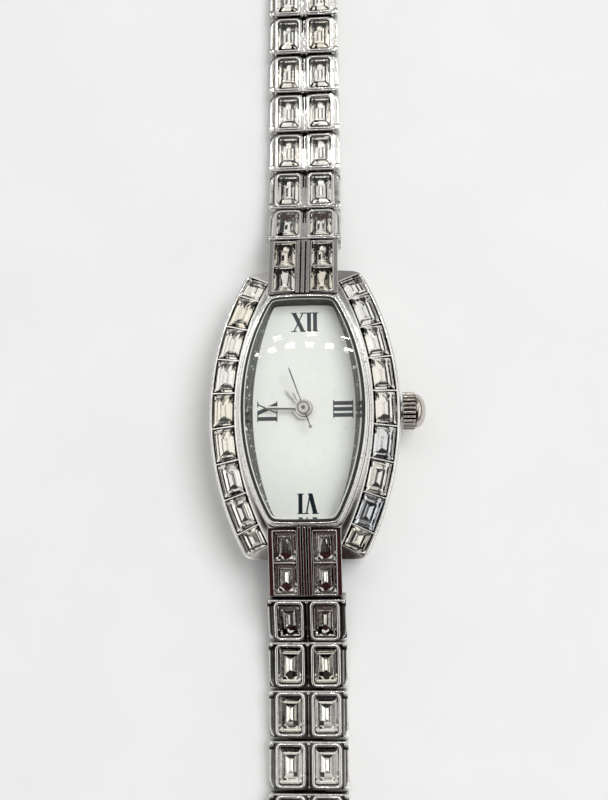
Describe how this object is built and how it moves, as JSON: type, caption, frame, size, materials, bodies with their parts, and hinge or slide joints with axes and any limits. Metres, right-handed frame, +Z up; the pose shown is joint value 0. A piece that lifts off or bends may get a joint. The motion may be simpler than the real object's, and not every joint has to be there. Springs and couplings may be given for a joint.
{
  "type": "wristwatch",
  "caption": "Dress wristwatch with a barrel-shaped stone-set case, domed glass, three hands, a crown and a hinged link bracelet with a fold-over clasp.",
  "frame": {"origin": "centre of the case back's flat face, on the surface that the watch lies on", "axes": "+Z up through the dial, +Y along the bracelet towards 12 o'clock, +X towards the crown"},
  "size_m": [0.0227, 0.1643, 0.0094],
  "materials": {
    "polished_silver": "mirror-polished rhodium plate",
    "back_steel": "brushed steel",
    "brushed_plate": "brushed nickel",
    "ring_steel": "polished",
    "hand_silver": "polished",
    "brass_plate": "gilt",
    "cell_steel": "satin",
    "crystal": "step-cut, foiled back",
    "sapphire_glass": "clear, domed",
    "white_lacquer": "smooth white lacquer",
    "black_rubber": "matte",
    "holder_plastic": "moulded",
    "board_green": "lacquered"
  },
  "bodies": {
    "case": {"case": "polished_silver", "case_back": "back_steel", "back_gasket": "black_rubber", "bezel": "polished_silver", "glass": "sapphire_glass", "glass_gasket": "black_rubber", "dial_ring": "ring_steel", "dial": "white_lacquer", "movement_holder": "holder_plastic", "movement_plate": "brass_plate", "train_bridge": "brushed_plate", "circuit_board": "board_green", "battery": "cell_steel", "crown_tube": "brushed_plate", "lugs": "polished_silver", "case_stones": "crystal"},
    "setting_lever": {"setting_lever": "brushed_plate"},
    "crown": {"crown": "polished_silver", "stem": "brushed_plate"},
    "hours": {"hour_hand": "hand_silver", "hour_wheel": "brass_plate"},
    "minutes": {"minute_hand": "hand_silver", "cannon_pinion": "brass_plate"},
    "seconds": {"second_hand": "hand_silver", "second_wheel": "brass_plate"},
    "upper_link_1": {"upper_link_1": "polished_silver", "upper_stones_1": "crystal"},
    "upper_link_2": {"upper_link_2": "polished_silver", "upper_stones_2": "crystal"},
    "upper_link_3": {"upper_link_3": "polished_silver", "upper_stones_3": "crystal"},
    "upper_link_4": {"upper_link_4": "polished_silver", "upper_stones_4": "crystal"},
    "upper_link_5": {"upper_link_5": "polished_silver", "upper_stones_5": "crystal"},
    "upper_link_6": {"upper_link_6": "polished_silver", "upper_stones_6": "crystal"},
    "upper_link_7": {"upper_link_7": "polished_silver", "upper_stones_7": "crystal"},
    "upper_link_8": {"upper_link_8": "polished_silver"},
    "upper_link_9": {"upper_link_9": "polished_silver"},
    "upper_link_10": {"upper_link_10": "polished_silver"},
    "catch_link": {"catch_link": "polished_silver"},
    "lower_link_1": {"lower_link_1": "polished_silver", "lower_stones_1": "crystal"},
    "lower_link_2": {"lower_link_2": "polished_silver", "lower_stones_2": "crystal"},
    "lower_link_3": {"lower_link_3": "polished_silver", "lower_stones_3": "crystal"},
    "lower_link_4": {"lower_link_4": "polished_silver", "lower_stones_4": "crystal"},
    "lower_link_5": {"lower_link_5": "polished_silver", "lower_stones_5": "crystal"},
    "lower_link_6": {"lower_link_6": "polished_silver"},
    "lower_link_7": {"lower_link_7": "polished_silver"},
    "lower_link_8": {"lower_link_8": "polished_silver"},
    "lower_link_9": {"lower_link_9": "polished_silver"},
    "lower_link_10": {"lower_link_10": "polished_silver"},
    "clasp_base": {"clasp_base": "polished_silver"},
    "clasp_lid": {"clasp_lid": "polished_silver"}
  },
  "joints": [
    {"name": "crown_pull", "type": "slide", "parent": "case", "child": "setting_lever", "axis": [1, 0, 0], "range_m": [0, 0.0009]},
    {"name": "crown_turn", "type": "hinge", "parent": "setting_lever", "child": "crown", "pos_m": [0.011, 0, 0.0039], "axis": [1, 0, 0], "continuous": true},
    {"name": "seconds_turn", "type": "hinge", "parent": "case", "child": "seconds", "pos_m": [0, 0, 0.006], "axis": [0, 0, -1], "continuous": true},
    {"name": "minutes_turn", "type": "hinge", "parent": "case", "child": "minutes", "pos_m": [0, 0, 0.006], "axis": [0, 0, -1], "continuous": true},
    {"name": "hours_turn", "type": "hinge", "parent": "case", "child": "hours", "pos_m": [0, 0, 0.006], "axis": [0, 0, -1], "continuous": true},
    {"name": "upper_link_1_hinge", "type": "hinge", "parent": "case", "child": "upper_link_1", "pos_m": [0, 0.01772, 0.00367], "axis": [1, 0, 0], "range_deg": [-14, 22]},
    {"name": "upper_link_2_hinge", "type": "hinge", "parent": "upper_link_1", "child": "upper_link_2", "pos_m": [0, 0.02223, 0.00166], "axis": [1, 0, 0], "range_deg": [-34, 2]},
    {"name": "upper_link_3_hinge", "type": "hinge", "parent": "upper_link_2", "child": "upper_link_3", "pos_m": [0, 0.02712, 0.00097], "axis": [1, 0, 0], "range_deg": [-24, 12]},
    {"name": "upper_link_4_hinge", "type": "hinge", "parent": "upper_link_3", "child": "upper_link_4", "pos_m": [0, 0.03206, 0.0008], "axis": [1, 0, 0], "range_deg": [-20, 16]},
    {"name": "upper_link_5_hinge", "type": "hinge", "parent": "upper_link_4", "child": "upper_link_5", "pos_m": [0, 0.037, 0.0008], "axis": [1, 0, 0], "range_deg": [-18, 18]},
    {"name": "upper_link_6_hinge", "type": "hinge", "parent": "upper_link_5", "child": "upper_link_6", "pos_m": [0, 0.04194, 0.0008], "axis": [1, 0, 0], "range_deg": [-18, 18]},
    {"name": "upper_link_7_hinge", "type": "hinge", "parent": "upper_link_6", "child": "upper_link_7", "pos_m": [0, 0.04688, 0.0008], "axis": [1, 0, 0], "range_deg": [-18, 18]},
    {"name": "upper_link_8_hinge", "type": "hinge", "parent": "upper_link_7", "child": "upper_link_8", "pos_m": [0, 0.05182, 0.0008], "axis": [1, 0, 0], "range_deg": [-18, 18]},
    {"name": "upper_link_9_hinge", "type": "hinge", "parent": "upper_link_8", "child": "upper_link_9", "pos_m": [0, 0.05676, 0.0008], "axis": [1, 0, 0], "range_deg": [-18, 18]},
    {"name": "upper_link_10_hinge", "type": "hinge", "parent": "upper_link_9", "child": "upper_link_10", "pos_m": [0, 0.0617, 0.0008], "axis": [1, 0, 0], "range_deg": [-18, 18]},
    {"name": "catch_link_hinge", "type": "hinge", "parent": "upper_link_10", "child": "catch_link", "pos_m": [0, 0.06664, 0.0008], "axis": [1, 0, 0], "range_deg": [-18, 18]},
    {"name": "lower_link_1_hinge", "type": "hinge", "parent": "case", "child": "lower_link_1", "pos_m": [0, -0.01772, 0.00367], "axis": [1, 0, 0], "range_deg": [-22, 14]},
    {"name": "lower_link_2_hinge", "type": "hinge", "parent": "lower_link_1", "child": "lower_link_2", "pos_m": [0, -0.02223, 0.00166], "axis": [1, 0, 0], "range_deg": [-2, 34]},
    {"name": "lower_link_3_hinge", "type": "hinge", "parent": "lower_link_2", "child": "lower_link_3", "pos_m": [0, -0.02712, 0.00097], "axis": [1, 0, 0], "range_deg": [-12, 24]},
    {"name": "lower_link_4_hinge", "type": "hinge", "parent": "lower_link_3", "child": "lower_link_4", "pos_m": [0, -0.03206, 0.0008], "axis": [1, 0, 0], "range_deg": [-16, 20]},
    {"name": "lower_link_5_hinge", "type": "hinge", "parent": "lower_link_4", "child": "lower_link_5", "pos_m": [0, -0.037, 0.0008], "axis": [1, 0, 0], "range_deg": [-18, 18]},
    {"name": "lower_link_6_hinge", "type": "hinge", "parent": "lower_link_5", "child": "lower_link_6", "pos_m": [0, -0.04194, 0.0008], "axis": [1, 0, 0], "range_deg": [-18, 18]},
    {"name": "lower_link_7_hinge", "type": "hinge", "parent": "lower_link_6", "child": "lower_link_7", "pos_m": [0, -0.04688, 0.0008], "axis": [1, 0, 0], "range_deg": [-18, 18]},
    {"name": "lower_link_8_hinge", "type": "hinge", "parent": "lower_link_7", "child": "lower_link_8", "pos_m": [0, -0.05182, 0.0008], "axis": [1, 0, 0], "range_deg": [-18, 18]},
    {"name": "lower_link_9_hinge", "type": "hinge", "parent": "lower_link_8", "child": "lower_link_9", "pos_m": [0, -0.05676, 0.0008], "axis": [1, 0, 0], "range_deg": [-18, 18]},
    {"name": "lower_link_10_hinge", "type": "hinge", "parent": "lower_link_9", "child": "lower_link_10", "pos_m": [0, -0.0617, 0.0008], "axis": [1, 0, 0], "range_deg": [-18, 18]},
    {"name": "clasp_base_hinge", "type": "hinge", "parent": "lower_link_10", "child": "clasp_base", "pos_m": [0, -0.06664, 0.0008], "axis": [1, 0, 0], "range_deg": [-18, 18]},
    {"name": "clasp_lid_hinge", "type": "hinge", "parent": "clasp_base", "child": "clasp_lid", "pos_m": [0, -0.06894, 0.0014], "axis": [-1, 0, 0], "range_deg": [0, 110]}
  ],
  "couplings": [
    {"joint": "minutes_turn", "follows": "seconds_turn", "ratio": 0.016667},
    {"joint": "hours_turn", "follows": "seconds_turn", "ratio": 0.0013889}
  ]
}
